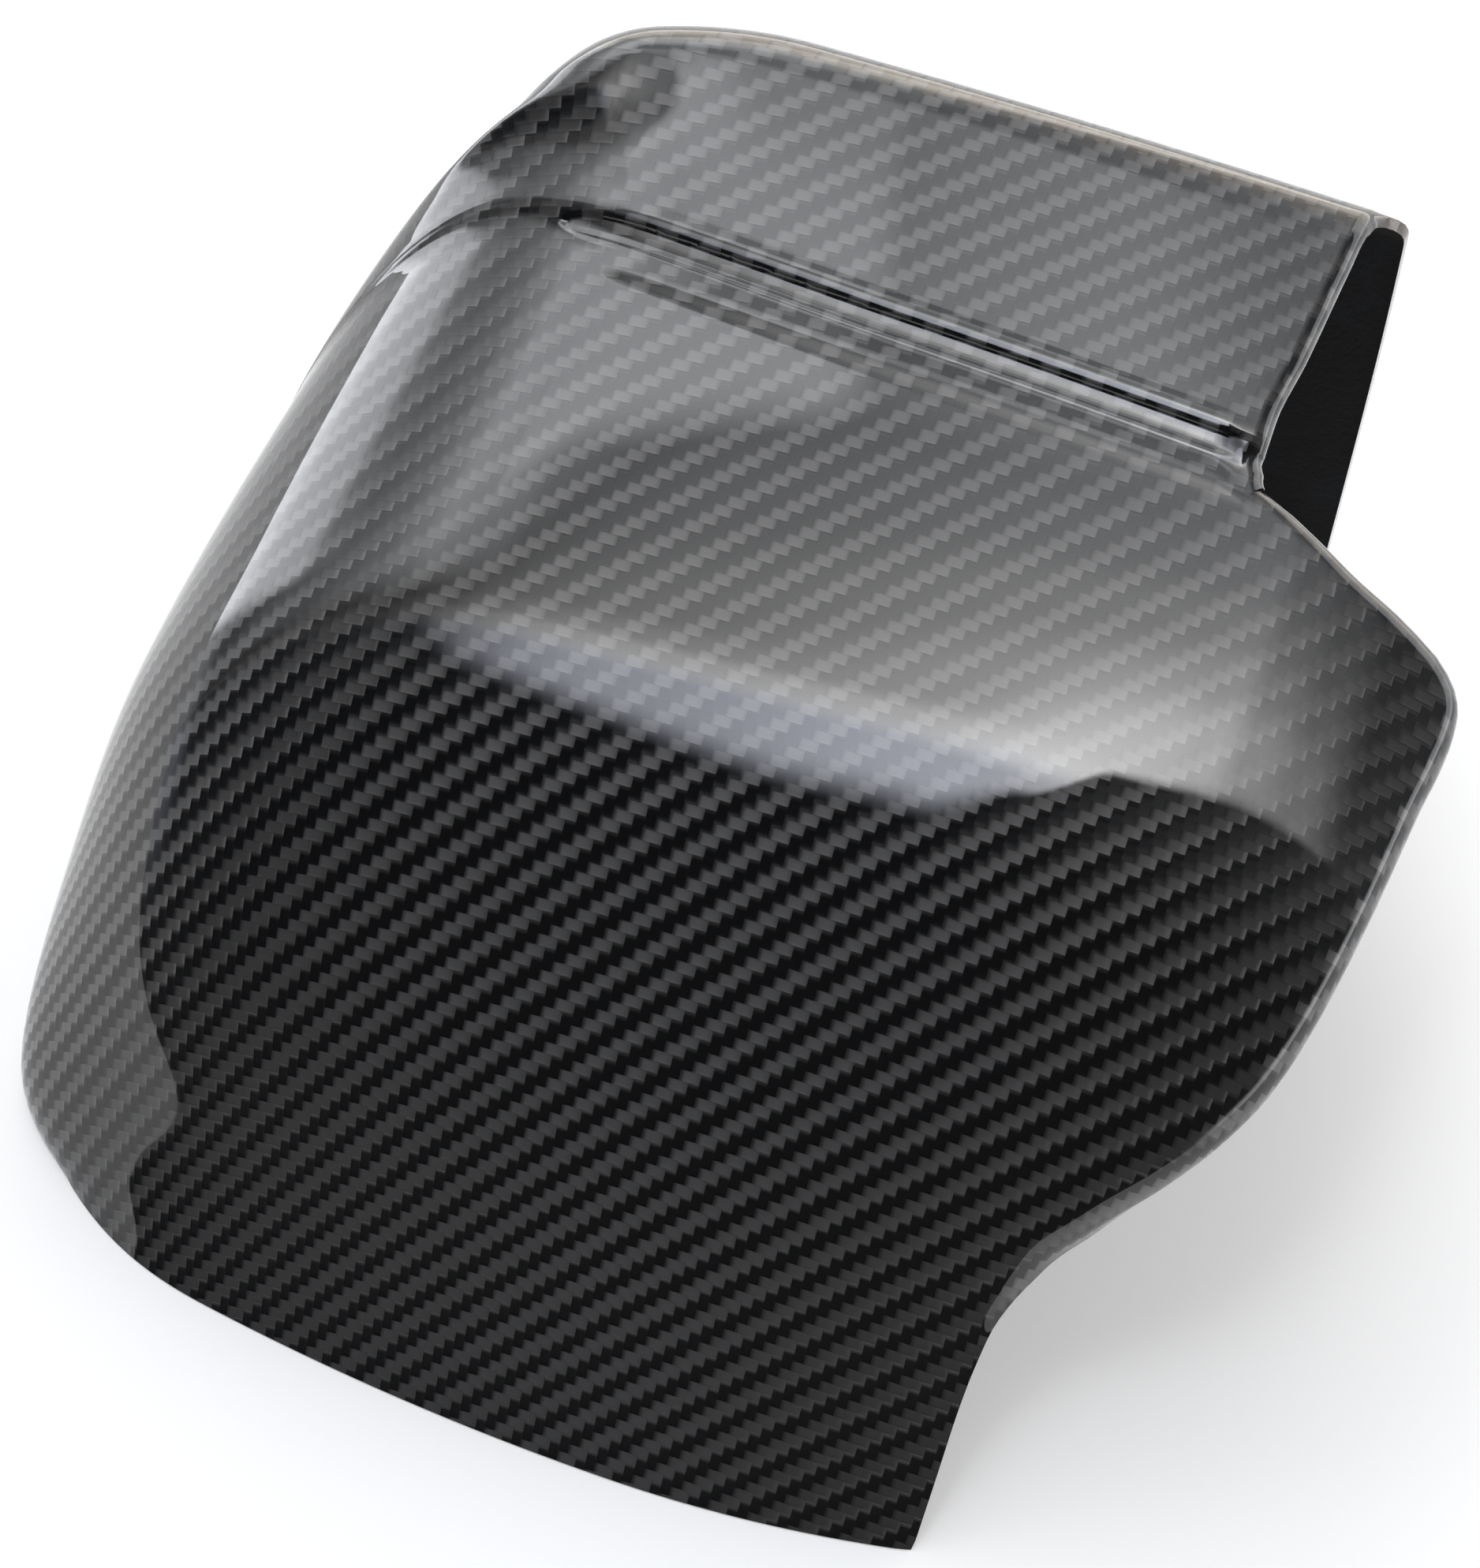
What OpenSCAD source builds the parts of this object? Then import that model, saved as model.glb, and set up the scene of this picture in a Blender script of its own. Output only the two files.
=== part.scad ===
/* [Size] */
// Height of the main face line where it would meet the back wall
back_z = 106.7; // [102:0.1:110]
// Depth position of the back wall's outer face, from the groove side origin
back_y = 130.3; // [128.3:0.5:132.8]
// Depth position of the front rim at mid length
front_y = -72.7; // [-77.7:0.5:-67.7]
// Thickness of the moulded laminate
wall_t = 1.8; // [1.4:0.1:2.2]
// Lean of the back wall over its full height
back_draft = 1.5; // [0:0.25:3]
// Lengthwise position of the furthest point of the left end
left_reach = -116.6; // [-124.1:0.5:-110.1]
// Lengthwise position of the furthest point of the right side
right_reach = 96.8; // [91.8:0.5:103.8]

/* [Section] */
// Fall of the hood and upper face, height lost for each unit of run
upper_slope = 0.228; // [0.2:0.002:0.25]
// Slope that the face gains on each unit of run below the hood
face_bow = 0.0006; // [0:0.0001:0.001]
// Depth position where the crown starts, as the face turns down
crown_y = 29; // [25:0.5:33]
// Run over which the crown turns
crown_w = 50; // [40:1:56]
// Slope that the face gains over the crown
crown_turn = 0.5; // [0.42:0.01:0.58]
// Depth position where the chin starts, as the face turns into the skirt
chin_y = -22; // [-25:0.5:-19]
// Run over which the chin turns
chin_w = 36; // [28:1:42]
// Radius of the back top edge
back_r = 9.6; // [8:0.2:12]
// Rise of the face at mid length over its ends
dome_h = 2; // [0:0.25:3]
// Lengthwise position where the left shoulder starts to round over
shoulder_x = -44; // [-48:0.5:-40]
// How much further left the hood's shoulder starts
hood_shoulder = 14; // [8:0.5:18]
// Squareness of the left shoulder, 2 is an ellipse
shoulder_n = 2.5; // [2.2:0.05:2.9]
// Lengthwise position where the right side starts to fall away
fall_x = 58; // [54:0.5:62]
// Height lost on the right side before its rolled edge
fall_h = 5.5; // [3:0.25:7]

/* [Hood and groove] */
// Depth position of the hood's front lip at mid length
lip_y = 84.8; // [83:0.2:86]
// Height of the hood above the line of the face
hood_step = 1.2; // [0.5:0.1:2]
// Width of the groove
groove_w = 4.7; // [4.3:0.1:5.3]
// Depth of the groove below the slope that it is pressed into
groove_d = 0.9; // [0.6:0.1:1.2]
// Lengthwise position of the groove's round left end
groove_x = -62.5; // [-64:0.5:-58]
// Depth of the valley in front of the groove, below the line of the face
valley_d = 0.7; // [0.4:0.1:1]
// Width of the valley's slope on the face side
valley_w = 7; // [5:0.5:9]
// Turn of the lip and groove towards the front along their length
rake = 0.08; // [0.05:0.005:0.09]
// Lengthwise position where the back edge starts to bow forward, near its left end
bow_x = -34; // [-38:0.5:-28]
// Forward bow of the back edge beyond that, sharper where it is higher
back_bow = 0.008; // [0.004:0.001:0.01]

/* [Ends] */
// Lengthwise position where the rows start to turn round the left end
left_x = -64; // [-66:0.5:-63]
// Lengthwise position of the hood's open end
hood_x = 55.5; // [53:0.5:58]
// Lengthwise position of the skirt's right corner
tail_x = 52.4; // [50:0.2:55]
// Radius of the rolled edge on the right side
roll_r = 5; // [4:0.25:6]
// Depth of the turned down flange below the rolled edge
flange_h = 3; // [2:0.5:4]
// Radius of the rolled edge on the hood's open end
hood_roll_r = 2.6; // [2.4:0.1:3]

/* [Hidden] */

function ss(t) = t <= 0 ? 0 : t >= 1 ? 1 : t * t * (3 - 2 * t);
function mix(a, b, t) = a + (b - a) * t;
function unit(v) = v / norm(v);

// value read from a table of pairs, falling or rising in its first column
function look(x, t, i = 0) =
    i >= len(t) - 2 || (t[i + 1][0] - x) * sign(t[1][0] - t[0][0]) >= 0
    ? mix(t[i][1], t[i + 1][1], (x - t[i][0]) / (t[i + 1][0] - t[i][0]))
    : look(x, t, i + 1);

// smooth curve through points, u from 0 to the last point
function knot(p, i) = p[max(0, min(len(p) - 1, i))];
function curve(p, u) =
    let (i = max(0, min(len(p) - 2, floor(u))), t = u - i)
    let (a = knot(p, i - 1), b = knot(p, i), c = knot(p, i + 1), d = knot(p, i + 2))
    0.5 * (2 * b + (c - a) * t + (2 * a - 5 * b + 4 * c - d) * t * t
    + (3 * b - a - 3 * c + d) * t * t * t);

// corner of the section rounded to radius r, n steps
function round_corner(a, b, c, r, n) =
    let (p = unit(a - b), q = unit(c - b), h = acos(p * q) / 2)
    let (m = b + unit(p + q) * r / sin(h), s = b + p * r / tan(h), e = b + q * r / tan(h))
    let (t0 = atan2(s[1] - m[1], s[0] - m[0]), t1 = atan2(e[1] - m[1], e[0] - m[0]))
    let (d = (t1 - t0 + 540) % 360 - 180)
    [for (k = [0 : n]) m + r * [cos(t0 + d * k / n), sin(t0 + d * k / n)]];
function steps(p, q, n) = [for (k = [1 : n - 1]) mix(p, q, k / n)];

// height of the face line at mid length; the slope gained at the chin brings it to the front rim
function turned(t) = t <= 0 ? 0 : t >= 1 ? t - 0.5 : t * t * t * (1 - t / 2);
function upper_z(y) = back_z - upper_slope * (back_y - y) - face_bow / 2 * pow(max(0, lip_y - y), 2)
    - crown_turn * crown_w * turned((crown_y - y) / crown_w);
chin_turn = upper_z(front_y) / (chin_w * turned((chin_y - front_y) / chin_w));
function face_at(y) = [y, upper_z(y) - chin_turn * chin_w * turned((chin_y - y) / chin_w)];

// section at mid length, from the back rim over the hood and face to the front rim
rim_b = [back_y + back_draft, 0];
arc_b = round_corner(rim_b, [back_y, back_z], face_at(lip_y + 6), back_r, 6);
wall_top = arc_b[0][1];
lip_rows = [6, 4, 2.4, 1.2, 0.4, 0, -0.4, -0.8, -1.4];
near_rows = [1.2, 0.5, 0, -0.5, -1.2, -2.4, -3.8, -5.4, -7, -8.6, -10.6, -13, -15.6, -18.6, -22, -26, -31];
face_n = 24;
face_top = lip_y - groove_w - 31;
section = concat(
    [rim_b], steps(rim_b, arc_b[0], 7), arc_b,
    steps(arc_b[6], face_at(lip_y + 6), 4),
    [for (d = lip_rows) face_at(lip_y + d)],
    [face_at(lip_y - groove_w / 2)],
    [for (d = near_rows) face_at(lip_y - groove_w + d)],
    [for (k = [1 : face_n]) face_at(mix(face_top, front_y, k / face_n))]);
rows = len(section);

// how far each part of the section follows the raked lip, and bows at the front
function rake_at(y) = rake * (y > lip_y ? 1 - 0.5 * ss((y - lip_y) / 40) : ss((y - 10) / 60));
function bow_at(y) = ss((-15 - y) / 50);
function row_y(i, x) =
    let (y = section[i][0], d = x - 5)
    y - rake_at(y) * x + bow_at(y) * d * d * (d < 0 ? 0.0011 : 0.0022)
    - back_bow * ss((y - lip_y - 10) / 30) * pow(max(0, bow_x - max(x, -70)), 2);
function row_z(i, x) =
    let (z = section[i][1])
    z - (dome_h * pow((x - 10) / 75, 2) + fall_h * pow(max(0, (x - fall_x) / 32), 2.4)) * z / back_z;
function row_slope(i, x) = (row_y(i, x + 0.5) - row_y(i, x - 0.5));

// left outline of the rim, from the back corner round to the front corner
left_rim = [for (p = [[0.3, 115], [0.51, 102.4], [0.778, 69.3], [0.971, 29.6], [1, -4.7],
    [0.89, -39.4], [0.577, -55.5]]) [mix(left_x, left_reach, p[0]), p[1]]];
// where each row of the section meets that outline
function fan(i) =
    let (y = section[i][0], z = section[i][1], t = (lip_y - y) / (lip_y - front_y))
    z < wall_top && y > 100 ? 0.9 * z / wall_top :
    y > lip_y ? 0.9 + 1.6 * ss((back_y - y) / (back_y - lip_y)) :
    2.5 + 2 * t + 1.5 * pow(t, 6);

// right edge of the shell, depth position against length position: hood's end, notch and arm side, tail
function side_x(k) = mix(hood_x, right_reach, k);
right_edge = concat(
    [for (p = [[129.4, 7.2], [127.9, 9.2], [126, 6.4], [123.5, 5], [121, 4.4], [112, 3.3], [95, 1.5],
        [84, 0], [78, 0]]) [p[0], hood_x + p[1]]],
    [for (p = [[74.5, 0.037], [71.5, 0.11], [69.5, 0.22], [67, 0.34], [62, 0.589], [57, 0.888], [53.5, 0.969],
        [51, 0.99], [47, 1], [35, 0.958], [18, 0.898], [3, 0.824], [-8, 0.737], [-16, 0.623], [-22, 0.499],
        [-29, 0.306]]) [p[0], side_x(p[1])]],
    [for (p = [[-35, 8.5], [-39, 5.1], [-44, 2.4], [-52, 0.9], [-60, 0.3], [-75, -0.9]])
        [p[0], tail_x + p[1]]]);
function end_x(i) =
    let (x0 = look(row_y(i, 60), right_edge), x1 = look(row_y(i, x0), right_edge))
    look(row_y(i, x1), right_edge);
ends = [for (i = [0 : rows - 1]) let (x = end_x(i)) [x, row_y(i, x), row_z(i, x)]];

// how far the right edge is rolled over, in degrees, and the length of the roll
roll_table = [[140, 6], [130, 6], [128, 40], [124, 84], [66, 84], [50, 88], [0, 88], [-20, 84],
    [-34, 60], [-44, 25], [-52, 6], [-75, 4]];
face_roll = roll_r * 88 * PI / 180;
hood_roll = hood_roll_r * 84 * PI / 180;
roll_len = [[140, 0.66 * hood_roll], [130, 0.66 * hood_roll], [123, hood_roll], [75, hood_roll],
    [62, mix(hood_roll, face_roll, 0.3)], [50, face_roll], [-20, face_roll], [-34, 0.78 * face_roll],
    [-44, 0.45 * face_roll], [-75, 0.33 * face_roll]];
flange_table = [[140, 0.4], [75, 0.4], [62, 0.35 * flange_h], [50, flange_h], [-20, flange_h],
    [-34, 0.7 * flange_h], [-44, 0.2 * flange_h], [-75, 0.17 * flange_h]];

// columns: left end by angle, then lengthwise, then the rolled edge and its flange
left_n = 12;
mid_x = [-64, -62.6, -61.6, -60.4, -58.6, -52, -44, -33, -20, -7, 6, 17, 25, 31, 36, 41, 45];
mid_n = len(mid_x);
roll_n = 5;
cols = left_n + mid_n + roll_n + 1;

rim_at = [for (i = [0 : rows - 1]) curve(left_rim, fan(i))];
function shoulder_at(i) = shoulder_x - hood_shoulder * ss((section[i][0] - lip_y) / 25);
function round_from(i) = (shoulder_at(i) - left_x) / (shoulder_at(i) - rim_at[i][0]);
function left_f(i, k) = let (f = asin(pow(round_from(i), shoulder_n / 2))) f + (90 - f) * k / left_n;
function left_end(i, f) =
    let (u = pow(sin(f), 2 / shoulder_n), w = pow(max(cos(f), 0), 2 / shoulder_n), u0 = round_from(i))
    let (t = (u - u0) / (1 - u0), l = rim_at[i], dx = t * (l[0] - left_x), y = row_y(i, left_x))
    let (swing = l[1] - y - row_slope(i, left_x) * (l[0] - left_x), x = left_x + dx)
    [x, y + row_slope(i, left_x) * dx + swing * pow(max(t, 0), 2.5), row_z(i, x) * w, w];
function across(i, x) =
    let (s = shoulder_at(i), u = max(0, (s - x) / (s - rim_at[i][0])))
    let (w = pow(1 - pow(u, shoulder_n), 1 / shoulder_n))
    [x, row_y(i, x), row_z(i, x) * w, w];
function xyz(p) = [p[0], p[1], p[2]];
function row_up(i) = min(i + 1, rows - 1);
function row_dn(i) = max(i - 1, 0);

// outward direction of the smooth surface; level along the two rims
function facing(i, a, b, c, d) =
    i == 0 || i == rows - 1 ? unit([(b - a)[1], -(b - a)[0], 0]) * (i == 0 ? -1 : 1.2) : unit(cross(c, d));
function facing_at(i, x) = facing(i, across(i, x - 1), across(i, x + 1),
    xyz(across(row_up(i), x) - across(row_dn(i), x)), xyz(across(i, x + 1) - across(i, x - 1)));
function facing_left(i, f) =
    let (l = fan(i), g = curve(left_rim, l + 0.05) - curve(left_rim, l - 0.05))
    f > 89 ? unit([g[1], -g[0], 0]) :
    facing(i, left_end(i, f + 1), left_end(i, max(f - 1, 0)),
    xyz(left_end(row_up(i), f) - left_end(row_dn(i), f)),
    xyz(left_end(i, max(f - 1, 0)) - left_end(i, f + 1)));

// hood, valley and groove, raised or sunk from the smooth surface; b is 0 outside, wall_t inside
front_lip = lip_y - groove_w;
valley_y = front_lip - 4.1;
function round_end(y) =
    let (r = groove_w / 2, d = y - lip_y + r)
    groove_x + 4 * r - 4 * sqrt(max(0, r * r - d * d));
function raised(i, x, x_end, b) =
    let (y = section[i][0], z = section[i][1])
    let (hood = hood_step * (y > back_y - 1 ? z / back_z : 1))
    let (wall = ss((lip_y + b * 0.6 - y) / (1.4 + b * 0.5)))
    let (slope = ss((y - valley_y) / (lip_y - valley_y)))
    let (level = y > valley_y ? mix(-valley_d, hood, 0.65 * slope + 0.35 * (1 - wall)) :
    -valley_d * (1 - ss((valley_y - y) / valley_w)))
    let (cut = wall * ss((y - front_lip + b * 0.4) / 2.4))
    level - groove_d * cut * ss((x - round_end(y)) / 2.5) * ss((x_end - 1.5 - x) / 2);

// start of the rolled edge on each row, its direction outward, and the facing there
edge_n = [for (i = [0 : rows - 1]) facing_at(i, ends[i][0])];
edge_out = [for (i = [0 : rows - 1]) unit(cross(edge_n[i], ends[row_up(i)] - ends[row_dn(i)]))];
roll_a = [for (i = [0 : rows - 1]) look(section[i][0], roll_table)];
roll_s = [for (i = [0 : rows - 1]) look(section[i][0], roll_len)];
function roll_rad(i) = roll_s[i] / (roll_a[i] * PI / 180);
start_x = [for (i = [0 : rows - 1]) ends[i][0] - roll_rad(i) * sin(roll_a[i]) / max(edge_out[i][0], 0.45)];
function lengthwise(i, k) =
    let (x = mid_x[k])
    x < -58 ? x : -58 + (x + 58) * (start_x[i] + 58) / (mid_x[mid_n - 1] + 58);

// outside point and facing for row i, column j
function spot(i, j) =
    j < left_n ? let (f = left_f(i, left_n - j), p = left_end(i, f)) [p, facing_left(i, f)] :
    let (k = min(j - left_n, mid_n - 1), x = lengthwise(i, k), p = across(i, x), n = facing_at(i, x))
    j - left_n < mid_n ? [p, n] :
    let (m = j - left_n - mid_n + 1, a = roll_a[i] * min(m, roll_n) / roll_n)
    let (r = roll_rad(i), e = edge_out[i])
    let (q = r * sin(a) * e - r * (1 - cos(a)) * n)
    let (h = m > roll_n ? look(section[i][0], flange_table) : 0)
    [concat(xyz(p) + q + h * (cos(a) * e - sin(a) * n), [1]), cos(a) * n + sin(a) * e];
function skin(b) = [for (i = [0 : rows - 1]) for (j = [0 : cols - 1])
    let (s = spot(i, j), p = s[0], n = s[1], q = xyz(p) - b * n, d = raised(i, p[0], start_x[i], b) * p[3])
    [q[0], q[1], i == 0 || i == rows - 1 || j == 0 ? 0 : max(q[2] + d, 0.3 * p[2])]];

function grid_faces(o, flip) = [for (i = [0 : rows - 2]) for (j = [0 : cols - 2])
    let (a = o + i * cols + j, b = a + 1, c = a + cols, d = c + 1)
    each flip ? [[a, c, b], [b, c, d]] : [[a, b, c], [b, d, c]]];
function ring(o) = concat(
    [for (j = [0 : cols - 1]) o + j], [for (i = [1 : rows - 1]) o + i * cols + cols - 1],
    [for (j = [cols - 2 : -1 : 0]) o + (rows - 1) * cols + j], [for (i = [rows - 2 : -1 : 1]) o + i * cols]);

module cover_shell() {
    outside = skin(0);
    inside = skin(wall_t);
    pts = concat(outside, inside);
    half = rows * cols;
    a = ring(0);
    b = ring(half);
    m = len(a);
    rim = [for (k = [0 : m - 1]) let (l = (k + 1) % m) each [[a[k], b[k], a[l]], [a[l], b[k], b[l]]]];
    low = [min([for (p = pts) p[0]]), min([for (p = pts) p[1]])];
    high = [max([for (p = pts) p[0]]), max([for (p = pts) p[1]])];
    color([0.08, 0.08, 0.09])
    translate([-(low[0] + high[0]) / 2, -(low[1] + high[1]) / 2, 0])
    polyhedron(points = pts, faces = concat(grid_faces(0, false), grid_faces(half, true), rim));
}

cover_shell();
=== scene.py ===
"""Wing mirror cover: its clear-coated twill laminate, and the stage it is seen on."""
import math

import bpy
import numpy as np
from bpy.props import FloatProperty, FloatVectorProperty, PointerProperty
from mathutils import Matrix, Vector


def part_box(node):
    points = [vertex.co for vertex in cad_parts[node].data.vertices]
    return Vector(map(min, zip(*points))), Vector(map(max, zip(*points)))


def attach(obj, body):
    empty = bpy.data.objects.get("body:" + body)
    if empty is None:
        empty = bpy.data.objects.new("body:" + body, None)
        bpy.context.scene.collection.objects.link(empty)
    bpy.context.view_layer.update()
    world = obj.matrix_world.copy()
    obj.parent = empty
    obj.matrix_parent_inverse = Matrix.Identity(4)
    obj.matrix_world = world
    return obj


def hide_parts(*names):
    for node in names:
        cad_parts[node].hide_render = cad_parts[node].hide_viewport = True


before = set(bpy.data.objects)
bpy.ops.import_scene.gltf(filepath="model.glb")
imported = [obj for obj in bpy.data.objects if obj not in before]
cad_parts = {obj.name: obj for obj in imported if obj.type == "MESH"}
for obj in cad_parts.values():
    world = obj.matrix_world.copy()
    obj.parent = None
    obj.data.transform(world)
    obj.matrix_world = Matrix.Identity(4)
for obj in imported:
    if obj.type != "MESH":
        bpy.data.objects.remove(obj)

bl_info = {
    "name": "Wing Mirror Cover",
    "version": (1, 0, 0),
    "blender": (4, 5, 0),
    "location": "3D View > Sidebar > Cover",
    "description": "Dresses the moulded shell of a wing mirror cover in clear-coated twill laminate",
    "category": "Object",
}

NODE = "cover_shell"
BODY = "root"
WEAVE_UV = "weave"
MM = 0.001
FLOOR_GAP = 0.0002
FLOOR_REACH = 6.0
FLOOR_LIFT = 0.3
SKY_STRENGTH = 0.88
ROOM_LIGHT = 0.06
COAT_IOR = 1.55
SHARP_ANGLE = math.radians(50)
CLOTH_ROUNDS = 900
CLOTH_ERROR = 1e-9
TWILL_REPEAT = 4.0


def length(name, description, default_mm):
    """A size in metres, given here in millimetres."""
    return FloatProperty(name=name, description=description, default=default_mm * MM, unit="LENGTH",
                         precision=5)


def number(name, description, default):
    return FloatProperty(name=name, description=description, default=default, precision=4)


def colour(name, description, default):
    return FloatVectorProperty(name=name, description=description, default=default, size=3, subtype="COLOR",
                               min=0.0, max=1.0)


class CoverShape(bpy.types.PropertyGroup):
    """Sizes of the moulded shell, the same as the solid part's. ShellForm has the line across the groove."""

    back_z: length("Back height", "Height of the face line where it meets the back wall", 106.7)
    back_y: length("Back wall", "Depth position of the back wall's outer face", 130.3)
    front_y: length("Front rim", "Depth position of the front rim at mid length", -72.7)
    wall_t: length("Wall", "Thickness of the moulded laminate", 1.8)
    back_draft: length("Back lean", "Lean of the back wall over its height", 1.5)
    left_reach: length("Left reach", "Furthest point of the left end", -116.6)
    right_reach: length("Right reach", "Furthest point of the right side", 96.8)
    upper_slope: number("Upper slope", "Height lost on the hood for each unit of run", 0.228)
    face_bow: number("Face bow", "Slope gained on each millimetre of run below the hood", 0.0006)
    crown_y: length("Crown start", "Depth position where the face starts to turn down", 29.0)
    crown_w: length("Crown run", "Run over which the crown turns", 50.0)
    crown_turn: number("Crown turn", "Slope that the face gains over the crown", 0.5)
    chin_y: length("Chin start", "Depth position where the face turns into the skirt", -22.0)
    chin_w: length("Chin run", "Run over which the chin turns", 36.0)
    back_r: length("Back edge radius", "Radius of the back top edge", 9.6)
    dome_h: length("Dome", "Rise of the face at mid length over its ends", 2.0)
    shoulder_x: length("Left shoulder", "Where the left shoulder starts to round over", -44.0)
    hood_shoulder: length("Hood shoulder", "How much further left the hood's shoulder starts", 14.0)
    shoulder_n: number("Shoulder squareness", "2 is an ellipse", 2.5)
    fall_x: length("Right fall start", "Where the right side starts to fall away", 58.0)
    fall_h: length("Right fall", "Height lost on the right side before its rolled edge", 5.5)
    lip_y: length("Hood lip", "Depth position of the hood's front lip at mid length", 84.8)
    hood_step: length("Hood step", "Height of the hood above the line of the face", 1.2)
    groove_w: length("Groove width", "Width of the groove", 4.7)
    groove_x: length("Groove end", "Lengthwise position of the groove's round left end", -62.5)
    valley_d: length("Valley depth", "Depth below the face where the shares of the groove's line start", 0.7)
    rake: number("Rake", "Turn of the groove towards the front along its length", 0.08)
    bow_x: length("Back bow start", "Where the back edge starts to bow forward near its left end", -34.0)
    back_bow: number("Back bow", "Forward bow of the back edge beyond that, per millimetre", 0.008)
    left_x: length("Left turn", "Where the rows start to turn round the left end", -64.0)
    hood_x: length("Hood end", "Lengthwise position of the hood's open end", 55.5)
    tail_x: length("Skirt corner", "Lengthwise position of the skirt's right corner", 52.4)
    roll_r: length("Roll radius", "Radius of the rolled edge on the right side", 5.0)
    flange_h: length("Flange", "Depth of the flange below the rolled edge", 3.0)
    hood_roll_r: length("Hood roll radius", "Radius of the rolled edge on the hood's open end", 2.6)


class CoverFinish(bpy.types.PropertyGroup):
    """Cloth, resin and clear coat."""

    tow: length("Tow width", "Pitch of the tows in the cloth", 1.67)
    tow_turn: FloatProperty(name="Cloth turn", description="Turn of the cloth from the length of the cover",
                            default=math.radians(-1.0), subtype="ANGLE")
    tow_dip: number("Tow dip", "How steeply a tow dips at the ends of its float", 0.34)
    # Painted light: the two tow colours stand for one black fibre, the lengthwise tows painted lit and the
    # depthwise tows painted shaded, as the light falls on each from the stage's camera.
    lengthwise: colour("Lengthwise tows", "Fibres that run along the cover", (0.076, 0.075, 0.074))
    depthwise: colour("Depthwise tows", "Fibres that run across the cover", (0.012, 0.012, 0.012))
    # This resin colour is also what the tows are darkened towards as painted shade: where they go under, and
    # at the start of each lengthwise float.
    gap: colour("Gaps", "Resin in the gaps where the tows cross", (0.006, 0.006, 0.007))
    resin: colour("Bare resin", "Inside of the shell", (0.006, 0.0063, 0.0075))
    resin_cloud: colour("Resin clouds", "Cloudy patches in the bare resin", (0.013, 0.015, 0.02))
    edge: colour("Cut edge", "Cut edge of the laminate", (0.12, 0.085, 0.06))
    edge_grain: colour("Edge grain", "Darker grain in the cut edge", (0.045, 0.032, 0.024))


class StageLook(bpy.types.PropertyGroup):
    """Camera and floor."""

    azimuth: FloatProperty(name="Camera turn", description="Camera's turn to the right of straight in front",
                           default=math.radians(20.0), subtype="ANGLE")
    elevation: FloatProperty(name="Camera height angle", description="Camera's angle above the floor",
                             default=math.radians(57.0), subtype="ANGLE")
    distance: length("Camera distance", "Distance from the camera to the point it looks at", 533.3)
    target_x: length("Target length", "Lengthwise position of the point the camera looks at", 11.24)
    target_y: length("Target depth", "Depth position of the point the camera looks at", -30.16)
    target_z: length("Target height", "Height of the point the camera looks at", 88.27)
    lens: FloatProperty(name="Lens", description="Focal length in millimetres", default=85.0)
    floor: colour("Floor", "Colour of the plain floor", (0.8, 0.8, 0.8))


def ss(t):
    """Smooth step from 0 to 1."""
    t = np.clip(t, 0.0, 1.0)
    return t * t * (3.0 - 2.0 * t)


def turned(t):
    """Slope gained over a smooth turn, added up from its start."""
    t = np.asarray(t, float)
    inside = t ** 3 * (1.0 - t / 2.0)
    return np.where(t <= 0.0, 0.0, np.where(t >= 1.0, t - 0.5, inside))


def mix(a, b, t):
    return a + (b - a) * t


def unit(v):
    return v / np.maximum(np.linalg.norm(v, axis=-1, keepdims=True), 1e-12)


def through(knots, values, x):
    """Smooth curve through points, as a function of x; straight past its ends."""
    order = np.argsort(knots)
    k = np.asarray(knots, float)[order]
    v = np.asarray(values, float)[order]
    h = np.diff(k)
    chord = np.diff(v) / h
    slope = np.empty_like(v)
    slope[0], slope[-1] = chord[0], chord[-1]
    for i in range(1, len(v) - 1):
        a, b = chord[i - 1], chord[i]
        slope[i] = 0.0 if a * b <= 0.0 else 3.0 * (h[i - 1] + h[i]) / (
            (2.0 * h[i] + h[i - 1]) / a + (h[i] + 2.0 * h[i - 1]) / b)
    x = np.asarray(x, float)
    n = np.clip(np.searchsorted(k, x) - 1, 0, len(h) - 1)
    t = (x - k[n]) / h[n]
    inner = ((1 + 2 * t) * (1 - t) ** 2 * v[n] + t * (1 - t) ** 2 * h[n] * slope[n]
             + t * t * (3 - 2 * t) * v[n + 1] + t * t * (t - 1) * h[n] * slope[n + 1])
    inner = np.where(t < 0.0, v[0] + slope[0] * (x - k[0]), inner)
    return np.where(t > 1.0, v[-1] + slope[-1] * (x - k[-1]), inner)


def spline(points, u):
    """Smooth curve through points, u counting them from 0."""
    p = np.asarray(points, float)
    last = len(p) - 1
    i = np.clip(np.floor(u).astype(int), 0, last - 1)
    t = (u - i)[..., None]
    a, b = p[np.clip(i - 1, 0, last)], p[i]
    c, d = p[i + 1], p[np.clip(i + 2, 0, last)]
    return 0.5 * (2 * b + (c - a) * t + (2 * a - 5 * b + 4 * c - d) * t * t
                  + (3 * b - a - 3 * c + d) * t ** 3)


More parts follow.
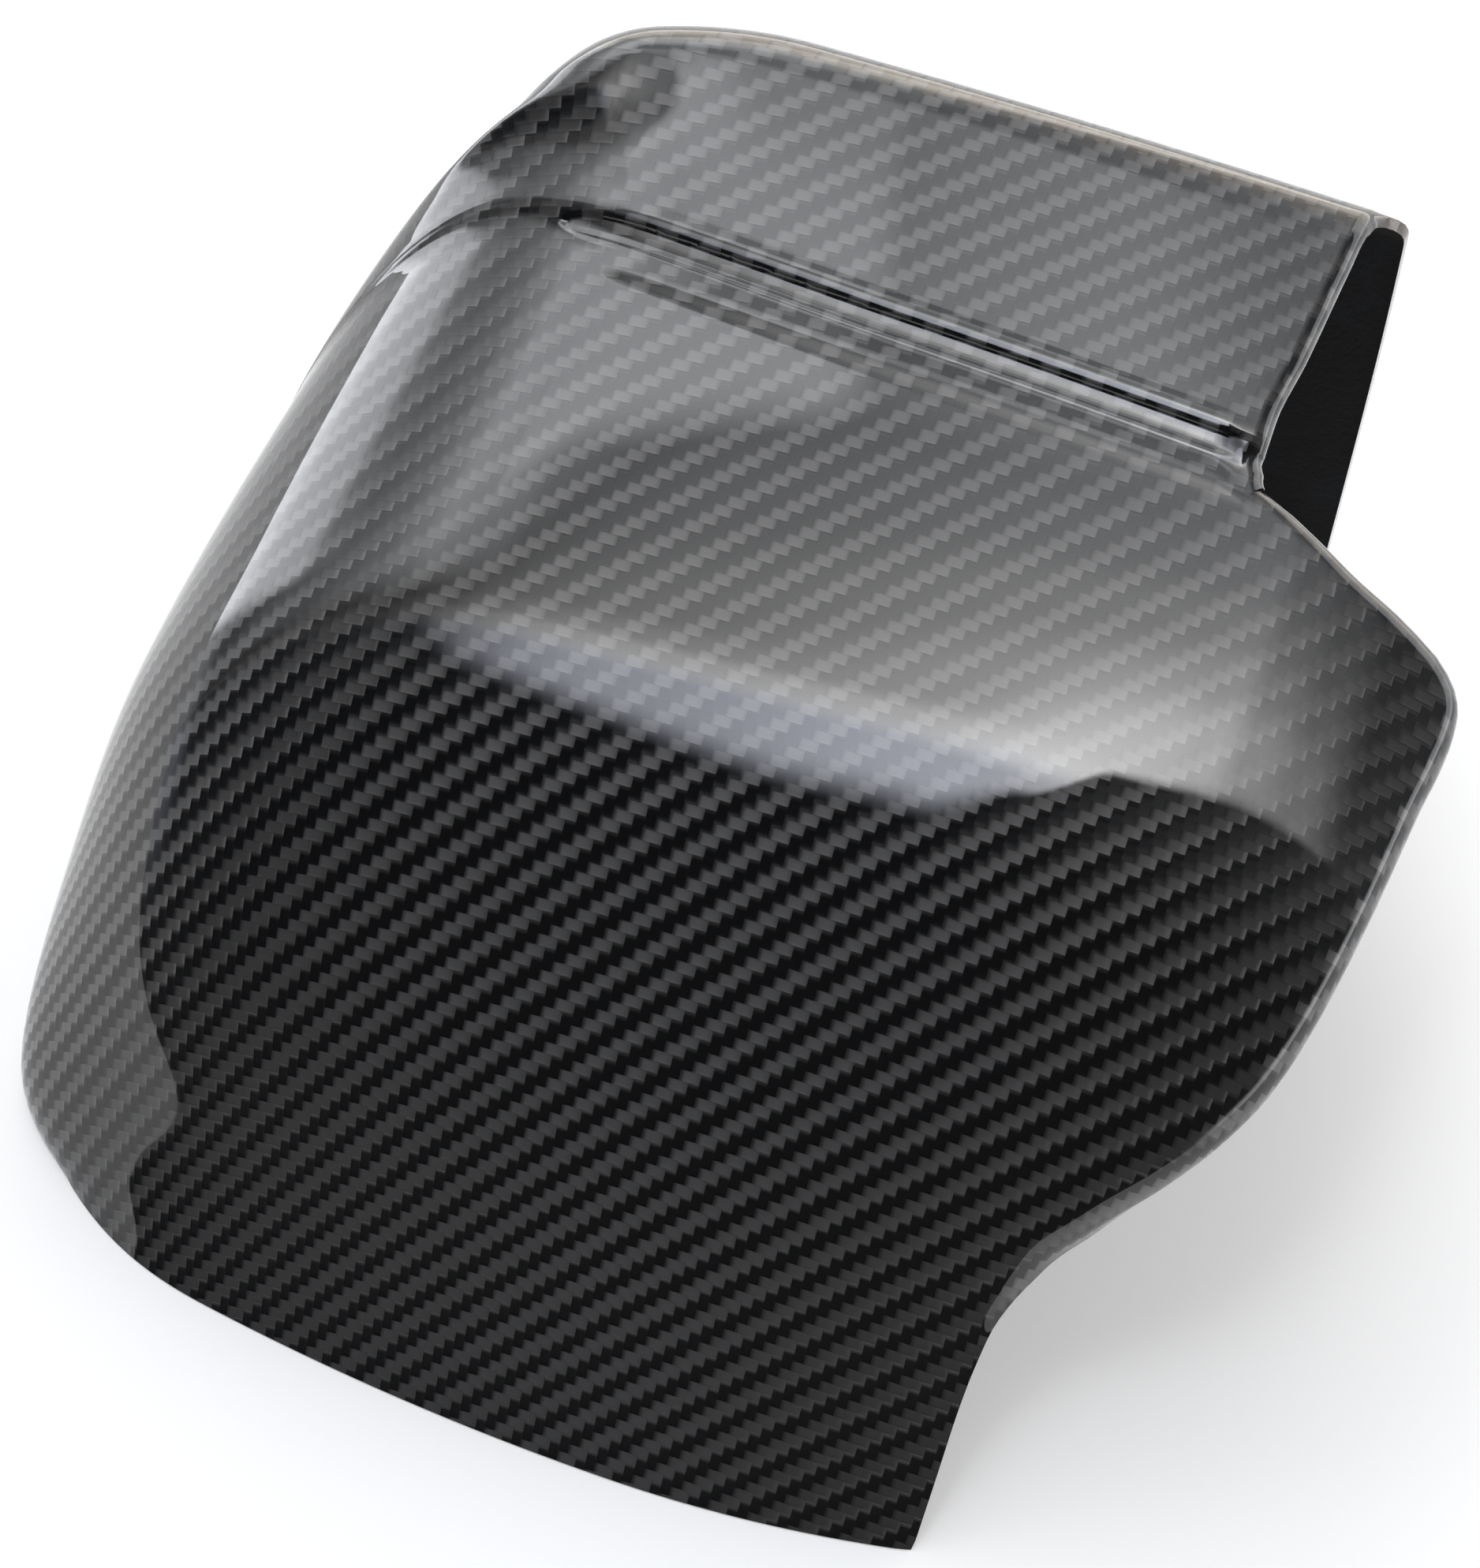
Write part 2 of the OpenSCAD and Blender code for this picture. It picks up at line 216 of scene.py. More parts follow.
class ShellForm:
    """The shell's smooth surface in millimetres, by rows round the section and columns along the length."""

    RIM = [(0.3, 115), (0.51, 102.4), (0.778, 69.3), (0.971, 29.6), (1, -4.7), (0.89, -39.4), (0.577, -55.5)]
    HOOD_EDGE = [(129.4, 7.2), (127.9, 9.2), (126, 6.4), (123.5, 5), (121, 4.4), (112, 3.3), (95, 1.5),
                 (84, 0), (78, 0)]
    SIDE_EDGE = [(74.5, 0.037), (71.5, 0.11), (69.5, 0.22), (67, 0.34), (62, 0.589), (57, 0.888),
                 (53.5, 0.969), (51, 0.99), (47, 1), (35, 0.958), (18, 0.898), (3, 0.824), (-8, 0.737),
                 (-16, 0.623), (-22, 0.499), (-29, 0.306)]
    TAIL_EDGE = [(-35, 8.5), (-39, 5.1), (-44, 2.4), (-52, 0.9), (-60, 0.3), (-75, -0.9)]
    ROLL_ANGLE = [(140, 6), (130, 6), (128, 40), (124, 84), (66, 84), (50, 88), (0, 88), (-20, 84),
                  (-34, 60), (-44, 25), (-52, 6), (-75, 4)]
    # Share of the step from valley_d below the face up to the hood, by distance behind the lip in groove
    # widths. LIP is past the groove's round end and GROOVE is in it. Both are this script's own: the groove
    # here is narrower and flatter than the solid part's.
    LIP = [(0.8, 1.0), (0.5, 1.0), (0.2, 0.97), (-0.1, 0.84), (-0.5, 0.58), (-1.0, 0.42), (-1.4, 0.37),
           (-2.4, 0.368)]
    GROOVE = [(0.8, 1.0), (0.7, 1.0), (0.45, 1.04), (0.33, 1.035), (0.15, 0.985), (0.03, 0.92), (0.0, 0.88),
              (-0.06, 0.5), (-0.08, 0.455), (-0.12, 0.44), (-0.45, 0.345), (-0.54, 0.33), (-0.68, 0.35),
              (-0.74, 0.348), (-0.8, 0.328), (-0.87, 0.322), (-1.45, 0.43), (-1.6, 0.435), (-2.2, 0.368),
              (-2.4, 0.368)]
    LIP_DRIFT = 0.22
    LIP_DRIFT_RUN = 60
    WALL_ROWS = 30
    LEAST_HEIGHT = 0.3
    # Where the columns start, stop lying close, start to stretch to each row's end, and stop
    FIRST_X, CLOSE_X, STRETCH_X, LAST_X = -64, -58.6, -58, 45

    def __init__(self, shape):
        for name in CoverShape.__annotations__:
            plain = name in ("upper_slope", "face_bow", "crown_turn", "shoulder_n", "rake", "back_bow")
            setattr(self, name, getattr(shape, name) if plain else getattr(shape, name) / MM)
        self.chin_turn = float(self.upper_z(self.front_y)) / (
            self.chin_w * float(turned((self.chin_y - self.front_y) / self.chin_w)))
        self.rim = [(mix(self.left_x, self.left_reach, k), y) for k, y in self.RIM]
        span = self.right_reach - self.hood_x
        self.edge = ([(y, self.hood_x + d) for y, d in self.HOOD_EDGE]
                     + [(y, self.hood_x + span * k) for y, k in self.SIDE_EDGE]
                     + [(y, self.tail_x + d) for y, d in self.TAIL_EDGE])
        face_roll = self.roll_r * math.radians(88)
        hood_roll = self.hood_roll_r * math.radians(84)
        self.roll_length = [(140, 0.66 * hood_roll), (130, 0.66 * hood_roll), (123, hood_roll),
                            (75, hood_roll), (62, mix(hood_roll, face_roll, 0.3)),
                            (50, face_roll), (-20, face_roll),
                            (-34, 0.78 * face_roll), (-44, 0.45 * face_roll), (-75, 0.33 * face_roll)]
        self.flange = [(140, 0.4), (75, 0.4), (62, 0.35 * self.flange_h), (50, self.flange_h),
                       (-20, self.flange_h), (-34, 0.7 * self.flange_h), (-44, 0.2 * self.flange_h),
                       (-75, 0.17 * self.flange_h)]
        self.section = self.rows()
        self.wall_top = self.section[self.WALL_ROWS, 1]
        self.measure_edge()

    def upper_z(self, y):
        below = np.maximum(0.0, self.lip_y - y)
        return (self.back_z - self.upper_slope * (self.back_y - y) - self.face_bow / 2 * below ** 2
                - self.crown_turn * self.crown_w * turned((self.crown_y - y) / self.crown_w))

    def face_z(self, y):
        return self.upper_z(y) - self.chin_turn * self.chin_w * turned((self.chin_y - y) / self.chin_w)

    def rows(self):
        """Points of the section at mid length, from the back rim over the hood and face to the front rim."""
        low = np.array([self.back_y + self.back_draft, 0.0])
        corner = np.array([self.back_y, self.back_z])
        far = np.array([self.lip_y + 6.0, float(self.face_z(self.lip_y + 6.0))])
        p, q = unit(low - corner), unit(far - corner)
        half = math.acos(float(p @ q)) / 2
        centre = corner + unit(p + q) * self.back_r / math.sin(half)
        start, end = corner + p * self.back_r / math.tan(half), corner + q * self.back_r / math.tan(half)
        a0 = math.atan2(*(start - centre)[::-1])
        a1 = math.atan2(*(end - centre)[::-1])
        wall = [mix(low, start, t) for t in np.linspace(0, 1, self.WALL_ROWS + 1)[:-1]]
        arc = [centre + self.back_r * np.array([math.cos(a), math.sin(a)]) for a in np.linspace(a0, a1, 19)]
        lip = self.lip_y
        near = lip - self.groove_w
        face_y = np.concatenate([
            np.linspace(arc[-1][0], lip + 6, 22)[1:], np.linspace(lip + 6, lip + 2.4, 8)[1:],
            np.linspace(lip + 2.4, near - 5, 78)[1:], np.linspace(near - 5, near - 14, 14)[1:],
            np.linspace(near - 14, near - 31, 14)[1:], np.linspace(near - 31, self.front_y, 84)[1:]])
        face = [np.array([y, float(self.face_z(y))]) for y in face_y]
        return np.array(wall + arc + face)

    def row_y(self, s, x):
        """Depth of a row at length x; s holds the row's section points."""
        y = s[..., 0]
        rake = self.rake * np.where(y > self.lip_y, 1 - 0.5 * ss((y - self.lip_y) / 40), ss((y - 10) / 60))
        d = x - 5.0
        bow = ss((-15 - y) / 50) * d * d * np.where(d < 0, 0.0011, 0.0022)
        beyond = np.maximum(0, self.bow_x - np.maximum(x, -70))
        back = self.back_bow * ss((y - self.lip_y - 10) / 30) * beyond ** 2
        return y - rake * x + bow - back

    def row_z(self, s, x):
        z = s[..., 1]
        fall = np.maximum(0, (x - self.fall_x) / 32)
        drop = self.dome_h * ((x - 10) / 75) ** 2 + self.fall_h * fall ** 2.4
        return z - drop * z / self.back_z

    def fan(self, s):
        """Where each row meets the left outline of the rim."""
        y, z = s[..., 0], s[..., 1]
        t = (self.lip_y - y) / (self.lip_y - self.front_y)
        low = 2.5 + 2.0 * t + 1.5 * np.maximum(t, 0) ** 6
        high = 0.9 + 1.6 * ss((self.back_y - y) / (self.back_y - self.lip_y))
        wall = 0.9 * z / self.wall_top
        return np.where((z < self.wall_top) & (y > 100), wall, np.where(y > self.lip_y, high, low))

    def shoulder(self, s):
        return self.shoulder_x - self.hood_shoulder * ss((s[..., 0] - self.lip_y) / 25)

    def left(self, s, f):
        """Point of the left end at angle f, with its share of the full height."""
        n = self.shoulder_n
        reach = spline(self.rim, self.fan(s))
        u = np.sin(f) ** (2 / n)
        w = np.maximum(np.cos(f), 0) ** (2 / n)
        start = self.shoulder(s)
        u0 = (start - self.left_x) / (start - reach[..., 0])
        t = (u - u0) / (1 - u0)
        dx = t * (reach[..., 0] - self.left_x)
        y0 = self.row_y(s, self.left_x)
        slope = self.row_y(s, self.left_x + 0.5) - self.row_y(s, self.left_x - 0.5)
        swing = reach[..., 1] - y0 - slope * (reach[..., 0] - self.left_x)
        x = self.left_x + dx
        y = y0 + slope * dx + swing * np.maximum(t, 0) ** 2.5
        return np.stack([x, y, self.row_z(s, x) * w], -1), w

    def left_start(self, s):
        start = self.shoulder(s)
        reach = spline(self.rim, self.fan(s))
        u0 = (start - self.left_x) / (start - reach[..., 0])
        return np.arcsin(u0 ** (self.shoulder_n / 2))

    def across(self, s, x):
        start = self.shoulder(s)
        reach = spline(self.rim, self.fan(s))
        u = np.maximum(0, (start - x) / (start - reach[..., 0]))
        w = (1 - u ** self.shoulder_n) ** (1 / self.shoulder_n)
        x = np.broadcast_to(x, w.shape)
        return np.stack([x, self.row_y(s, x), self.row_z(s, x) * w], -1), w

    def facing(self, before, after, a, b):
        """Outward direction from the row's neighbours and the steps along it; level along the two rims."""
        n = unit(np.cross(after - before, b - a))
        step = b - a
        level = unit(np.stack([-step[..., 1], step[..., 0], 0 * step[..., 0]], -1))
        n[0] = level[0]
        n[-1] = -level[-1]
        return n

    def neighbours(self):
        s = self.section
        up = np.concatenate([s[1:], s[-1:]])
        down = np.concatenate([s[:1], s[:-1]])
        return up, down

    def facing_at(self, x):
        up, down = self.neighbours()
        s = self.section
        x = np.asarray(x, float)
        if x.ndim == 2:
            s, up, down = s[:, None], up[:, None], down[:, None]
        return self.facing(self.across(down, x)[0], self.across(up, x)[0],
                           self.across(s, x - 0.5)[0], self.across(s, x + 0.5)[0])

    def facing_left(self, f):
        up, down = self.neighbours()
        s = self.section
        tiny = math.radians(0.5)
        near = np.maximum(f - tiny, 0)
        n = self.facing(self.left(down[:, None], f)[0], self.left(up[:, None], f)[0],
                        self.left(s[:, None], f + tiny)[0], self.left(s[:, None], near)[0])
        level = spline(self.rim, self.fan(s) + 0.05) - spline(self.rim, self.fan(s) - 0.05)
        n[:, 0] = unit(np.stack([level[:, 1], -level[:, 0], 0 * level[:, 0]], -1))
        return n

    def measure_edge(self):
        """Start of the rolled edge on each row, its outward direction and its facing."""
        s = self.section
        y_edge = [p[0] for p in self.edge]
        x_edge = [p[1] for p in self.edge]
        x = np.full(len(s), 60.0)
        for _ in range(4):
            x = through(y_edge, x_edge, self.row_y(s, x))
        self.end_x = x
        ends = self.across(s, x)[0]
        step = np.concatenate([ends[1:], ends[-1:]]) - np.concatenate([ends[:1], ends[:-1]])
        self.edge_n = self.facing_at(x)
        self.edge_out = unit(np.cross(self.edge_n, step))
        self.roll_a = np.radians(through(*zip(*self.ROLL_ANGLE), s[:, 0]))
        self.roll_s = through(*zip(*self.roll_length), s[:, 0])
        self.roll_rad = self.roll_s / self.roll_a
        self.start_x = x - self.roll_rad * np.sin(self.roll_a) / np.maximum(self.edge_out[:, 0], 0.45)

    def grid(self):
        """Smooth points, outward directions, shares of height and length positions, row by column."""
        s = self.section[:, None]
        f0 = self.left_start(self.section)[:, None]
        f = f0 + (math.pi / 2 - f0) * np.linspace(1, 0, 45)[None, :-1]
        p_left, w_left = self.left(s, f)
        n_left = self.facing_left(f)
        k = np.concatenate([np.linspace(self.FIRST_X, self.CLOSE_X, 20),
                            np.linspace(self.CLOSE_X, self.LAST_X, 62)[1:]])
        fixed = self.STRETCH_X
        reach = self.start_x[:, None] - fixed
        x = np.where(k < fixed, k, fixed + (k - fixed) * reach / (self.LAST_X - fixed))
        p_mid, w_mid = self.across(s, x)
        n_mid = self.facing_at(x)
        a = self.roll_a[:, None] * np.linspace(0, 1, 13)[None, 1:]
        r = self.roll_rad[:, None, None]
        out, up = self.edge_out[:, None], n_mid[:, -1:]
        sin, cos = np.sin(a)[..., None], np.cos(a)[..., None]
        p_roll = p_mid[:, -1:] + r * sin * out - r * (1 - cos) * up
        n_roll = cos * up + sin * out
        drop = through(*zip(*self.flange), self.section[:, 0])[:, None, None]
        down = cos[:, -1:] * out - sin[:, -1:] * up
        p_flange = p_roll[:, -1:] + drop * np.array([0.5, 1.0])[None, :, None] * down
        n_flange = np.repeat(n_roll[:, -1:], 2, 1)
        p = np.concatenate([p_left, p_mid, p_roll, p_flange], 1)
        n = np.concatenate([n_left, n_mid, n_roll, n_flange], 1)
        w = np.concatenate([w_left, w_mid, np.ones(p_roll.shape[:2]), np.ones(p_flange.shape[:2])], 1)
        return p, n, w

    def round_end(self, y):
        r = self.groove_w / 2
        d = y - self.lip_y + r
        return self.groove_x + 4 * r - 4 * np.sqrt(np.maximum(0, r * r - d * d))

    def raised(self, x, b):
        """Hood and groove, raised or sunk from the smooth surface, b inside the outer skin."""
        y, z = self.section[:, :1], self.section[:, 1:]
        end = self.start_x[:, None]
        hood = self.hood_step * np.where(y > self.back_y - 1, z / self.back_z, 1.0)
        drift = self.LIP_DRIFT * ss((x - self.groove_x) / self.LIP_DRIFT_RUN)
        run = (y - self.lip_y - b * 0.6) / self.groove_w + drift
        plain, cut = (mix(-self.valley_d, hood, through(*zip(*line), run))
                      for line in (self.LIP, self.GROOVE))
        opens = ss((x - self.round_end(y)) / 2.0)
        closes = ss((end - 1.5 - x) / 2)
        level = mix(plain, cut, opens * closes)
        return np.where(run > self.LIP[0][0], hood, np.where(run < self.LIP[-1][0], 0.0, level))

    def skin(self, p, n, w, b):
        """One skin of the shell, b inside the outer one."""
        q = p - b * n
        q[..., 2] = np.maximum(q[..., 2] + self.raised(p[..., 0], b) * w, self.LEAST_HEIGHT * p[..., 2])
        q[0, :, 2] = 0
        q[-1, :, 2] = 0
        q[:, 0, 2] = 0
        return q


def lay_cloth(p, n, turn):
    """Length and depth along the cloth at each grid point.

    The thread directions turn with the surface. The two values are the closest fit, by least squares, to
    steps measured along those directions.
    """
    z = n[..., 2:3]
    side = np.stack([n[..., 0], n[..., 1], 0 * n[..., 0]], -1)
    axis = np.array([1.0, 0.0, 0.0]), np.array([0.0, 1.0, 0.0])
    along = [e - (n @ e)[..., None] * (side / np.maximum(1 + z, 0.05) + [0, 0, 1.0]) for e in axis]
    ways = [math.cos(turn) * along[0] + math.sin(turn) * along[1],
            math.cos(turn) * along[1] - math.sin(turn) * along[0]]
    step_r, step_c = np.diff(p, axis=0), np.diff(p, axis=1)
    long_r, long_c = np.linalg.norm(step_r, axis=2) + 1e-4, np.linalg.norm(step_c, axis=2) + 1e-4

    def between(a, axis):
        return 0.5 * (np.take(a, range(1, a.shape[axis]), axis) + np.take(a, range(a.shape[axis] - 1), axis))

    wide_r = np.zeros_like(long_r)
    wide_r[:, :-1] += 0.5 * between(long_c, 0)
    wide_r[:, 1:] += 0.5 * between(long_c, 0)
    wide_c = np.zeros_like(long_c)
    wide_c[:-1] += 0.5 * between(long_r, 1)
    wide_c[1:] += 0.5 * between(long_r, 1)
    k_r, k_c = wide_r / long_r, wide_c / long_c

    def spread(u):
        """Pull of each point's neighbours."""
        out = np.zeros_like(u)
        pull = k_r * np.diff(u, axis=0)
        out[:-1] -= pull
        out[1:] += pull
        pull = k_c * np.diff(u, axis=1)
        out[:, :-1] -= pull
        out[:, 1:] += pull
        return out

    weight = np.zeros(p.shape[:2])
    weight[:-1] += k_r
    weight[1:] += k_r
    weight[:, :-1] += k_c
    weight[:, 1:] += k_c
    laid = []
    for way in ways:
        want_r = (between(way, 0) * step_r).sum(2)
        want_c = (between(way, 1) * step_c).sum(2)
        goal = np.zeros(p.shape[:2])
        goal[:-1] -= k_r * want_r
        goal[1:] += k_r * want_r
        goal[:, :-1] -= k_c * want_c
        goal[:, 1:] += k_c * want_c
        u = (p * np.mean(way, axis=(0, 1))).sum(2)
        rest = goal - spread(u)
        push = rest / weight
        heading = push.copy()
        strength = (rest * push).sum()
        for _ in range(CLOTH_ROUNDS):
            change = spread(heading)
            amount = strength / (heading * change).sum()
            u += amount * heading
            rest -= amount * change
            push = rest / weight
            now = (rest * push).sum()
            if now < CLOTH_ERROR:
                break
            heading = push + now / strength * heading
            strength = now
        laid.append(u)
    return laid


def grid_quads(rows, cols, start, flip):
    """Four-sided faces of a grid of points."""
    a = start + (np.arange(rows - 1)[:, None] * cols + np.arange(cols - 1)[None]).ravel()
    corners = [a, a + cols, a + cols + 1, a + 1] if flip else [a, a + 1, a + cols + 1, a + cols]
    return np.stack(corners, 1)


def rim_loop(rows, cols):
    """Point numbers round the edge of a grid."""
    return np.concatenate([
        np.arange(cols), np.arange(1, rows) * cols + cols - 1,
        (rows - 1) * cols + np.arange(cols - 2, -1, -1), np.arange(rows - 2, 0, -1) * cols])


def grid_facing(p):
    """Outward direction at each point of a grid."""
    down = np.gradient(p, axis=0)
    right = np.gradient(p, axis=1)
    return unit(np.cross(down, right))


def new_mesh(name, points, faces, material_index, uv):
    """A smooth-shaded mesh of four-sided faces, with the cloth's coordinates as its UV map."""
    mesh = bpy.data.meshes.new(name)
    mesh.vertices.add(len(points))
    mesh.vertices.foreach_set("co", points.astype(np.float32).ravel())
    mesh.loops.add(faces.size)
    mesh.loops.foreach_set("vertex_index", faces.astype(np.int32).ravel())
    mesh.polygons.add(len(faces))
    mesh.polygons.foreach_set("loop_start", np.arange(0, faces.size, 4, dtype=np.int32))
    mesh.polygons.foreach_set("material_index", material_index.astype(np.int32))
    mesh.polygons.foreach_set("use_smooth", np.ones(len(faces), bool))
    layer = mesh.uv_layers.new(name=WEAVE_UV)
    layer.uv.foreach_set("vector", uv[faces.ravel()].astype(np.float32).ravel())
    mesh.update(calc_edges=True)
    mesh.validate()
    mesh.set_sharp_from_angle(angle=SHARP_ANGLE)
    return mesh


class Board:
    """A node tree, and short ways to put nodes on it."""

    def __init__(self, tree):
        self.tree = tree
        tree.nodes.clear()

    def feed(self, socket, value):
        if isinstance(value, bpy.types.NodeSocket):
            self.tree.links.new(value, socket)
        elif value is not None:
            size = len(socket.default_value) if hasattr(socket.default_value, "__len__") else 0
            if size == 4 and len(value) == 3:
                value = (*value, 1.0)
            socket.default_value = value

    def put(self, kind, sockets=(), **settings):
        """A node with its settings, and its sockets by name or number set or linked."""
        node = self.tree.nodes.new("ShaderNode" + kind)
        for name, value in settings.items():
            setattr(node, name, value)
        for name, value in dict(sockets).items():
            self.feed(node.inputs[name], value)
        return node

    def math(self, operation, *values):
        node = self.put("Math", operation=operation)
        for socket, value in zip(node.inputs, values):
            self.feed(socket, value)
        return node.outputs[0]

    def vector(self, operation, *values):
        node = self.put("VectorMath", operation=operation)
        for socket, value in zip(node.inputs, values):
            self.feed(socket, value)
        return node.outputs["Value" if operation in ("DOT_PRODUCT", "LENGTH") else "Vector"]

    def split(self, vector):
        return self.put("SeparateXYZ", {0: vector}).outputs

    def join(self, x, y, z):
        return self.put("CombineXYZ", {0: x, 1: y, 2: z}).outputs[0]

    def blend(self, factor, a, b):
        """Colour a turning into colour b."""
        node = self.put("Mix", data_type="RGBA")
        self.feed(node.inputs[0], factor)
        self.feed(node.inputs[6], a)
        self.feed(node.inputs[7], b)
        return node.outputs[2]

    def ramp(self, value, low, high, first=0.0, last=1.0):
        """A smooth step from first at low to last at high, level past both."""
        return self.put("MapRange", {0: value, 1: low, 2: high, 3: first, 4: last},
                        interpolation_type="SMOOTHSTEP").outputs[0]

    def steps(self, value, points):
        """A smooth line through points (input, output), level past its ends."""
        total = None
        for (x0, y0), (x1, y1) in zip(points, points[1:]):
            if total is None:
                total = self.ramp(value, x0, x1, y0, y1)
            else:
                total = self.math("ADD", total, self.ramp(value, x0, x1, 0.0, y1 - y0))
        return total

    def noise(self, where, scale, detail, rough):
        return self.put("TexNoise", {"Vector": where, "Scale": scale, "Detail": detail, "Roughness": rough})


def new_group(name, inputs, outputs):
    """A shader node group with named sockets: its board, its inputs and a function that sets its outputs."""
    tree = bpy.data.node_groups.new(name, "ShaderNodeTree")
    for label, kind, value in inputs:
        socket = tree.interface.new_socket(label, in_out="INPUT", socket_type=kind)
        if value is not None:
            socket.default_value = value
    for label, kind in outputs:
        tree.interface.new_socket(label, in_out="OUTPUT", socket_type=kind)
    board = Board(tree)
    start = tree.nodes.new("NodeGroupInput")
    end = tree.nodes.new("NodeGroupOutput")
    return board, start.outputs, lambda label, socket: tree.links.new(socket, end.inputs[label])


def twill_group():
    """Two by two twill: which tow is on top, its colour with painted light and shade, and how it dips."""
    board, given, give = new_group(
        "Twill cloth",
        [("Lengthwise", "NodeSocketColor", (0.1, 0.1, 0.1, 1)),
         ("Depthwise", "NodeSocketColor", (0.1, 0.1, 0.1, 1)),
         ("Gap", "NodeSocketColor", (0.01, 0.01, 0.01, 1)), ("Dip", "NodeSocketFloat", 0.35)],
        [("Colour", "NodeSocketColor"), ("Depthwise on top", "NodeSocketFloat"),
         ("Normal", "NodeSocketVector")])
    uv = board.put("UVMap", uv_map=WEAVE_UV).outputs[0]
    u, v, _ = board.split(uv)
    row, column = board.math("FLOOR", v), board.math("FLOOR", u)
    side_x, side_y = board.math("FRACT", v), board.math("FRACT", u)
    p = board.math("FLOORED_MODULO", board.math("SUBTRACT", u, row), TWILL_REPEAT)
    later = board.math("SUBTRACT", board.math("SUBTRACT", v, column), 1.0)
    q = board.math("FLOORED_MODULO", later, TWILL_REPEAT)
    on_top = board.math("GREATER_THAN", p, TWILL_REPEAT / 2)

    def dip(along):
        """Slope of the float, up at its start and down at its end."""
        t = board.math("SUBTRACT", along, 1.0)
        cube = board.math("MULTIPLY", board.math("MULTIPLY", t, t), t)
        return board.math("MULTIPLY", cube, given["Dip"])

    def crown(side):
        t = board.math("MULTIPLY_ADD", side, 2.0, -1.0)
        cube = board.math("MULTIPLY", board.math("MULTIPLY", t, t), t)
        return board.math("MULTIPLY", cube, 0.25)

    def shade(along, side, tint):
        """The tow's colour, darker along its two sides, for the resin gaps, and where it goes under, as
        painted shade.
        """
        edge = board.math("ABSOLUTE", board.math("MULTIPLY_ADD", side, 2.0, -1.0))
        end = board.math("ABSOLUTE", board.math("SUBTRACT", along, 1.0))
        dark = board.math("MAXIMUM", board.ramp(edge, 0.86, 1.0), board.ramp(end, 0.93, 1.0))
        return board.blend(board.math("MULTIPLY", dark, 0.3), tint, given["Gap"])

    # Painted shade: each lengthwise float is darkened towards its start, where it dips away from the light.
    painted_dip_shade = board.ramp(p, 0.5, 0.0)
    lengthwise = board.blend(board.math("MULTIPLY", painted_dip_shade, 0.6), given["Lengthwise"], given["Gap"])
    # Painted highlight: each depthwise float is lightened towards its upper end, where it bends up into the
    # light.
    painted_bend_highlight = board.ramp(q, 1.55, 1.95)
    depthwise = board.blend(board.math("MULTIPLY", painted_bend_highlight, 0.8), given["Depthwise"], given["Lengthwise"])
    normal_x = board.join(dip(p), crown(side_x), 1.0)
    normal_y = board.join(crown(side_y), dip(q), 1.0)
    colour = board.blend(on_top, shade(p, side_x, lengthwise), shade(q, side_y, depthwise))
    pick = board.put("Mix", {0: on_top}, data_type="VECTOR")
    board.feed(pick.inputs[4], normal_x)
    board.feed(pick.inputs[5], normal_y)
    flat = board.vector("NORMALIZE", pick.outputs[1])
    packed = board.vector("MULTIPLY_ADD", flat, (0.5, 0.5, 0.5), (0.5, 0.5, 0.5))
    bent = board.put("NormalMap", {"Color": packed}, space="TANGENT", uv_map=WEAVE_UV).outputs[0]
    give("Colour", colour)
    give("Depthwise on top", on_top)
    give("Normal", bent)
    return board.tree


def new_material(name):
    material = bpy.data.materials.new(name)
    material.use_nodes = True
    board = Board(material.node_tree)
    end = board.put("OutputMaterial")
    return material, board, end


def laminate_material(finish, twill):
    """Twill cloth, with painted light and shade in its colours, under a clear gloss coat."""
    material, board, end = new_material("clear_coated_twill")
    group = board.put("Group", node_tree=twill)
    # The lengthwise and depthwise colours are painted lit and shaded copies of one fibre.
    board.feed(group.inputs["Lengthwise"], tuple(finish.lengthwise))
    board.feed(group.inputs["Depthwise"], tuple(finish.depthwise))
    board.feed(group.inputs["Gap"], tuple(finish.gap))
    board.feed(group.inputs["Dip"], finish.tow_dip)
    tangent = board.put("Tangent", direction_type="UV_MAP", uv_map=WEAVE_UV).outputs[0]
    tows = []
    for turn in (0.25, 0.0):
        shader = board.put("BsdfPrincipled", {
            "Base Color": group.outputs["Colour"], "Normal": group.outputs["Normal"], "Tangent": tangent,
            "Metallic": 0.9, "Roughness": 0.45, "Anisotropic": 0.97, "Anisotropic Rotation": turn,
            "Coat Weight": 1.0, "Coat Roughness": 0.02, "Coat IOR": COAT_IOR})
        tows.append(shader.outputs[0])
    both = board.put("MixShader", {0: group.outputs["Depthwise on top"], 1: tows[0], 2: tows[1]})
    board.feed(end.inputs[0], both.outputs[0])
    return material


def resin_material(finish):
    """Bare resin on the inside, with faint cloudy patches."""
    material, board, end = new_material("bare_resin")
    where = board.put("TexCoord").outputs["Object"]
    clouds = board.noise(where, 60.0, 4.0, 0.6).outputs[0]
    tint = board.blend(board.ramp(clouds, 0.45, 0.7), tuple(finish.resin), tuple(finish.resin_cloud))
    grain = board.noise(where, 900.0, 2.0, 0.5).outputs[0]
    bump = board.put("Bump", {"Strength": 0.25, "Distance": 0.0004, "Height": grain}).outputs[0]
    shader = board.put("BsdfPrincipled", {
        "Base Color": tint, "Roughness": 0.5, "Specular IOR Level": 0.12, "Normal": bump})
    board.feed(end.inputs[0], shader.outputs[0])
    return material


